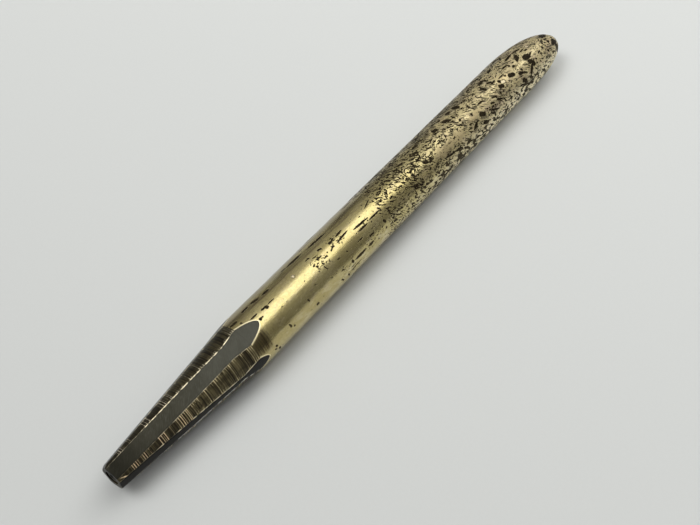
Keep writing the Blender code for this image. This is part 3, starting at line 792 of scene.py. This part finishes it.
def barrel_brass(n, point, station, heading, tone, fine):
    """Colour of the brass between its pits: polished, then dull and pale towards the rear."""
    brass = n.mix(n.ramp(tone, 0.35, 0.65), (0.482, 0.405, 0.176), (0.570, 0.490, 0.236))
    dull = n.ramp(n.noise(point, (0.4, 1.1, 1.1), 5.0, 0.7), 0.47, 0.66)
    haze = n.math("ADD", n.times(dull, 0.45), n.ramp(station, 66.0, 104.0, 0.0, 0.75),
                  clamp=True)
    brass = n.mix(haze, brass, barrel_bloom(n, point, heading, fine))
    side = n.math("ADD", heading, n.swing(tone, 60.0))
    tarnish = n.times(n.ramp(side, -36.0, -20.0, 1.0, 0.0), n.ramp(side, -150.0, -110.0))
    brass = n.mix(n.times(tarnish, 0.75), brass, (0.25, 0.215, 0.135))
    # Painted shade: the lower side of the front is painted darker, for the shadowed paper it
    # reflects.
    painted_lower_shade = n.times(n.ramp(heading, 46.0, 62.0, 0.0, 0.15),
                          n.ramp(station, 40.0, 52.0, 1.0, 0.0))
    brass = n.mix(painted_lower_shade, brass, (0.34, 0.275, 0.140))
    streaks = n.noise(point, (0.13, 1.7, 1.7), 3.0, 0.6, 0.2)
    streaks = n.times(n.ramp(streaks, 0.47, 0.62, 0.0, 0.60),
                      n.band(heading, (-75.0, -55.0), (-16.0, -4.0)),
                      n.ramp(station, 64.0, 74.0, 1.0, 0.15))
    return n.mix(streaks, brass, (0.215, 0.150, 0.085))


def barrel_material():
    """Polished brass worn to a warm sheen, pitted black towards its rear."""
    n = Nodes("worn_barrel_brass")
    point = n.position()
    station = n.parts(point)[0]
    heading = n.heading(point)
    edge = n.attribute("edge_mm")
    fine = n.noise(point, 3.5, 3.0, 0.6)
    tone = n.noise(point, (0.10, 0.35, 0.35), 4.0, 0.6)
    below = n.band(heading, (58.0, 66.0), (110.0, 140.0))

    flecks, pits, smears = barrel_pits(n, point, station, heading, fine, below)
    mark, painted_glint = mark_masks(n, n.swing(fine, 0.34))
    dark = n.math("MAXIMUM", n.math("MAXIMUM", flecks, pits), mark)
    blots = n.noise(n.twist(point, -0.06), (0.65, 0.95, 0.95), 3.0, 0.6, 0.4)
    blots = n.times(n.ramp(blots, 0.555, 0.60), n.ramp(station, 66.0, 92.0, 0.0, 0.80))

    brass = barrel_brass(n, point, station, heading, tone, fine)
    stain = seam_stain(n, point, station, heading, edge, fine)
    brass = n.mix(stain, brass, (0.052, 0.036, 0.018))
    speckle = n.ramp(n.noise(point, (2.2, 3.0, 3.0), 3.0, 0.7), 0.40, 0.70)
    speckle = n.times(speckle, n.ramp(station, 55.0, 85.0, 0.30, 0.12))
    brass = n.mix(speckle, brass, (0.26, 0.20, 0.095))
    brass = n.mix(blots, brass, (0.105, 0.090, 0.055))
    brass = n.mix(n.times(smears, 0.75), brass, (0.52, 0.42, 0.225))
    soot = n.mix(n.ramp(fine, 0.4, 0.6), (0.009, 0.006, 0.002), (0.034, 0.025, 0.011))
    soot = n.mix(n.times(below, 0.55), soot, (0.085, 0.066, 0.036))
    color = n.mix(dark, brass, soot)
    # Each dent's glint is painted as a pale spot: a painted highlight.
    color = n.mix(painted_glint, color, (0.80, 0.69, 0.46))

    # The flats' arches are blackened, with a bright rim round them.
    on_flat = n.ramp(edge, -0.04, 0.0, 1.0, 0.0)
    flat_color, flat_rough, grinding = ground_flat(n, point, station)
    rim = n.band(edge, (-0.04, 0.0), (0.12, 0.30))
    color = n.mix(on_flat, color, flat_color)
    color = n.mix(rim, color, (0.92, 0.81, 0.52))

    polished = n.noise(point, (0.22, 0.7, 0.7), 3.0, 0.6, 0.3)
    polished = n.ramp(polished, 0.44, 0.60)
    dulled = n.times(n.ramp(station, 64.0, 100.0, 0.0, 0.36),
                     n.ramp(polished, 0.0, 1.0, 1.0, 0.35))
    rough = n.math("ADD", n.ramp(tone, 0.3, 0.7, 0.17, 0.25), dulled)
    for mask, level in ((dark, 0.60), (painted_glint, 0.50), (on_flat, flat_rough), (rim, 0.45)):
        rough = n.blend(mask, rough, level)
    metal = n.blend(n.times(polished, 0.6), n.ramp(station, 62.0, 96.0, 1.0, 0.50), 1.0)
    metal = n.blend(n.ramp(heading, 50.0, 74.0, 0.0, 0.65), metal, 1.0)
    for mask, level in ((dark, 0.1), (rim, 1.0)):
        metal = n.blend(mask, metal, level)

    turning = n.noise(point, (7.0, 0.15, 0.15), 3.0, 0.7)
    strokes = n.noise(point, (0.25, 5.0, 5.0), 3.0, 0.7)
    height = n.times(turning, 0.007)
    for relief, depth in ((strokes, 0.010), (tone, 0.03), (fine, 0.010), (dark, -0.04)):
        height = n.math("ADD", height, n.times(relief, depth))
    height = n.blend(on_flat, height, n.times(grinding, 0.006))
    n.shader.inputs["Specular IOR Level"].default_value = 0.06
    return n.finish(color, rough, metal, height)


def nose_material():
    """Blackened brass: ringed with turning marks, ground flat in places, bright at its edges."""
    n = Nodes("blackened_nose_brass")
    point = n.position()
    station = n.parts(point)[0]
    heading = n.heading(point)
    edge = n.attribute("edge_mm")
    wear = n.attribute("wear")
    fine = n.noise(point, 3.0, 3.0, 0.6)
    upper_side = n.ramp(heading, -15.0, 5.0, 1.0, 0.0)

    rings = n.noise(point, (4.5, 0.06, 0.06), 3.0, 0.7)
    ringed = n.ramp(rings, 0.40, 0.62)
    film = n.mix(ringed, (0.012, 0.009, 0.005), (0.072, 0.061, 0.033))
    film = n.mix(n.times(n.ramp(station, 10.0, 16.0), ringed), film, (0.115, 0.095, 0.048))
    patches = n.noise(point, (0.5, 1.2, 1.2), 3.0)
    film = n.mix(n.ramp(patches, 0.36, 0.56, 0.4, 1.0), (0.020, 0.016, 0.009), film)
    # Painted shade: the film is painted darker on the upper side.
    film = n.mix(n.times(upper_side, 0.60), film, (0.008, 0.007, 0.004))

    # The ridges are worn to bare brass, less so away from the flats; on the upper side they are
    # painted fainter, as painted shade, and paler, as a painted sheen.
    worn = n.times(n.attribute("ridge"), n.ramp(fine, 0.30, 0.55, 0.6, 1.0))
    fading = n.blend(upper_side, n.ramp(edge, 0.1, 0.9, 0.0, 0.45),
                     n.ramp(edge, 0.1, 0.6, 0.0, 0.60))
    duller = n.times(fading, n.ramp(station, 13.0, 15.5, 0.35, 1.0))
    # Painted shade: near the tip the ridges on the upper side are painted fainter.
    painted_top_shade = n.times(upper_side, n.ramp(station, 13.0, 16.0, 0.28, 0.0))
    worn = n.times(worn, n.complement(duller), n.complement(painted_top_shade))
    gold = n.mix(n.ramp(station, 8.0, 20.0), (0.96, 0.73, 0.44), (0.92, 0.78, 0.43))
    # Painted sheen: on the upper side the bare ridges are painted paler and greyer.
    gold = n.mix(n.times(upper_side, 0.7), gold, (0.80, 0.75, 0.61))
    turned = n.mix(n.ramp(worn, 0.16, 0.55), film, gold)

    ground, ground_rough, grinding = ground_flat(n, point, station)
    on_flat = n.ramp(edge, -0.03, 0.01, 1.0, 0.0)
    color = n.mix(on_flat, turned, ground)

    # The flats' edges are rubbed bright, in a line that comes and goes; on the underside the rub
    # is painted greyish white as a painted highlight.
    width = n.ramp(n.noise(point, (1.3, 1.3, 1.3), 3.0), 0.38, 0.62)
    width = n.times(width, n.ramp(station, 5.5, 9.5, 0.16, 1.0))
    reach = n.times(width, wear, 0.095)
    rub = n.ramp(n.math("SUBTRACT", reach, n.math("ABSOLUTE", edge)), -0.02, 0.03)
    rub_and_sheen = n.mix(n.ramp(heading, 70.0, 95.0), (0.95, 0.84, 0.58), (0.80, 0.79, 0.75))
    color = n.mix(n.times(rub, n.ramp(wear, 0.3, 0.9, 0.45, 1.0)), color, rub_and_sheen)

    bright = n.math("MAXIMUM", rub, n.times(worn, n.complement(on_flat)))
    rough = n.blend(on_flat, 0.36, ground_rough)
    rough = n.blend(bright, rough, 0.50)
    metal = n.times(on_flat, n.ramp(station, 0.02, 0.12))
    metal = n.blend(bright, metal, 0.65)
    height = n.times(n.blend(on_flat, rings, 0.0), 0.03)
    height = n.math("ADD", height, n.times(n.blend(on_flat, 0.0, grinding), 0.006))
    n.shader.inputs["Specular IOR Level"].default_value = 0.08
    return n.finish(color, rough, metal, height)


def inner_material(name, color, deep, roughness, metallic, lines, depth):
    """Metal or graphite inside the pencil: lathe or drawing lines and a slight stain."""
    n = Nodes(name)
    point = n.position()
    marks = n.noise(point, lines, 3.0, 0.65)
    stain = n.noise(point, 0.8, 4.0, 0.6)
    tint = n.mix(n.ramp(stain, 0.45, 0.70, 0.0, 0.7), color, deep)
    tint = n.mix(n.ramp(marks, 0.55, 0.75, 0.0, 0.35), tint, deep)
    rough = n.ramp(marks, 0.3, 0.7, roughness - 0.07, roughness + 0.10)
    return n.finish(tint, rough, metallic, n.times(marks, depth))


def dress_inner_pieces():
    """Give every packed inner piece the material of its slot."""
    looks = {
        "inner_brass": inner_material("turned_brass", (0.72, 0.58, 0.29), (0.42, 0.32, 0.15),
                                      0.28, 1.0, (6.0, 0.2, 0.2), 0.008),
        "steel": inner_material("drawn_steel", (0.56, 0.56, 0.57), (0.34, 0.33, 0.32),
                                0.30, 1.0, (0.5, 5.0, 5.0), 0.006),
        "graphite": inner_material("pencil_lead", (0.050, 0.050, 0.055), (0.110, 0.110, 0.115),
                                   0.50, 0.2, (4.0, 1.5, 1.5), 0.010),
    }
    looks["tip_liner"] = inner_material("smoked_steel", (0.085, 0.080, 0.070),
                                        (0.030, 0.027, 0.022), 0.45, 1.0, (6.0, 0.3, 0.3), 0.006)
    slots = {part["node"]: part["material_slot"] for part in frame["record"]["subparts"]}
    for node, item in frame["nodes"].items():
        look = looks.get(node, looks.get(slots[node]))
        if look:
            item.data.materials.clear()
            item.data.materials.append(look)


# -------------------- stage, light, camera

FLOOR_SIZE = 4.0


def build_floor():
    """A large sheet of pale paper, with painted shade for slightly weaker light towards the
    pencil's tip.
    """
    n = Nodes("pale_paper")
    where = n.make("ShaderNodeTexCoord").outputs["Object"]
    tooth = n.noise(where, 1800.0, 3.0)
    shade = n.mix(tooth, (0.783, 0.798, 0.776), (0.805, 0.820, 0.798))
    # Painted shade: the paper is painted darker towards the tip.
    falloff = n.make("ShaderNodeMapRange", n.parts(where)[0], -0.08, 0.10, 0.30, 0.0)
    shade = n.mix(falloff.outputs[0], shade, (0.02, 0.02, 0.02))
    material = n.finish(shade, 0.95, 0.0)
    bpy.ops.mesh.primitive_plane_add(size=FLOOR_SIZE)
    floor = bpy.context.object
    floor.name = "paper_floor"
    floor.data.materials.append(material)


# Light levels of the room by heading, of its end walls and its dimmer end beyond the tip. Then
# the ceiling panel's reach: headings across it, and along the pencil the X part of a direction.
ROOM_LEVELS = ((-90, 0.26), (-68, 0.22), (-55, 0.36), (-40, 0.50), (-28, 0.62), (-14, 0.80),
               (20, 0.80), (29, 0.54), (42, 0.40), (54, 0.27), (75, 0.22), (90, 0.22))
ROOM_FAR_END = 0.30
END_WALL = 0.28
PANEL_FAR, PANEL_NEAR = -14.0, 26.0
PANEL_START, PANEL_END = 0.02, 0.93
PANEL_LEVEL = 1.48


def build_world():
    """A dim room under a long bright ceiling panel that runs the way the pencil lies."""
    n = Nodes("ceiling_panel_room", "worlds")
    bpy.context.scene.world = n.owner
    direction = n.make("ShaderNodeTexCoord").outputs["Generated"]
    along = n.parts(direction)[0]
    heading = n.heading(direction)
    levels = n.make("ShaderNodeValToRGB", n.math("DIVIDE", n.math("ADD", heading, 90.0), 180.0))
    levels.color_ramp.interpolation = "LINEAR"
    elements = levels.color_ramp.elements
    while len(elements) < len(ROOM_LEVELS):
        elements.new(0.5)
    for element, (angle, level) in zip(elements, ROOM_LEVELS):
        element.position = (angle + 90) / 180
        element.color = (level, level, level * 0.99, 1.0)
    across = n.band(heading, (PANEL_FAR - 7, PANEL_FAR + 7),
                    (PANEL_NEAR - 1.5, PANEL_NEAR + 1.5))
    length = n.band(along, (PANEL_START - 0.1, PANEL_START + 0.1),
                    (PANEL_END - 0.05, PANEL_END + 0.05))
    panel = n.times(across, length, PANEL_LEVEL)
    at_end = n.ramp(n.math("ABSOLUTE", along), 0.88, 0.99)
    walls = n.mix(at_end, levels.outputs[0], (END_WALL, END_WALL, END_WALL))
    room = n.make("ShaderNodeVectorMath", walls, operation="SCALE")
    n.put(n.ramp(along, -0.35, 0.1, ROOM_FAR_END, 1.0), room.inputs["Scale"])
    both = n.make("ShaderNodeVectorMath", room.outputs[0], panel, operation="ADD")
    n.put(both.outputs[0], n.tree.nodes["Background"].inputs["Color"])


LAMP_SIZE, LAMP_DISTANCE, LAMP_POWER = 0.35, 0.7, 2.25
LAMP_DIRECTION = (-0.42, 0.26, 0.87)


def build_lights():
    """One soft panel above and behind, which lays the shadow on the viewer's side."""
    light = bpy.data.lights.new("soft_panel", "AREA")
    light.shape = "RECTANGLE"
    light.size = light.size_y = LAMP_SIZE
    light.energy = LAMP_POWER
    lamp = bpy.data.objects.new("soft_panel", light)
    bpy.context.collection.objects.link(lamp)
    toward = Vector(LAMP_DIRECTION).normalized()
    lamp.location = toward * LAMP_DISTANCE
    lamp.rotation_mode = "QUATERNION"
    lamp.rotation_quaternion = toward.to_track_quat("Z", "Y")


# Where the photographer stood: directions in degrees, the rest in millimetres.
CAMERA_AZIMUTH, CAMERA_ELEVATION, CAMERA_ROLL = -54.56, 52.87, 2.46
CAMERA_AIM, CAMERA_DISTANCE = (-10.78, -3.34, 5.0), 165.5
CAMERA_LENS, CAMERA_SENSOR = 48.33, 36.0


def build_camera():
    """Looks down at the pencil from beyond its tip, at the side of its first flat."""
    azimuth, elevation = math.radians(CAMERA_AZIMUTH), math.radians(CAMERA_ELEVATION)
    back = Vector((math.sin(azimuth) * math.cos(elevation),
                   -math.cos(azimuth) * math.cos(elevation), math.sin(elevation)))
    roll = Quaternion((0, 0, 1), math.radians(CAMERA_ROLL))
    camera = bpy.data.cameras.new("camera")
    camera.sensor_width = CAMERA_SENSOR
    camera.lens = CAMERA_LENS
    camera.clip_start = 0.005
    item = bpy.data.objects.new("camera", camera)
    bpy.context.collection.objects.link(item)
    item.location = Vector(CAMERA_AIM) * MM + back * CAMERA_DISTANCE * MM
    item.rotation_mode = "QUATERNION"
    item.rotation_quaternion = (-back).to_track_quat("-Z", "Y") @ roll
    bpy.context.scene.camera = item


build_nose(nose_material())
build_barrel(barrel_material())
dress_inner_pieces()
build_floor()
build_world()
build_lights()
build_camera()
bpy.context.scene.view_settings.view_transform = "Standard"
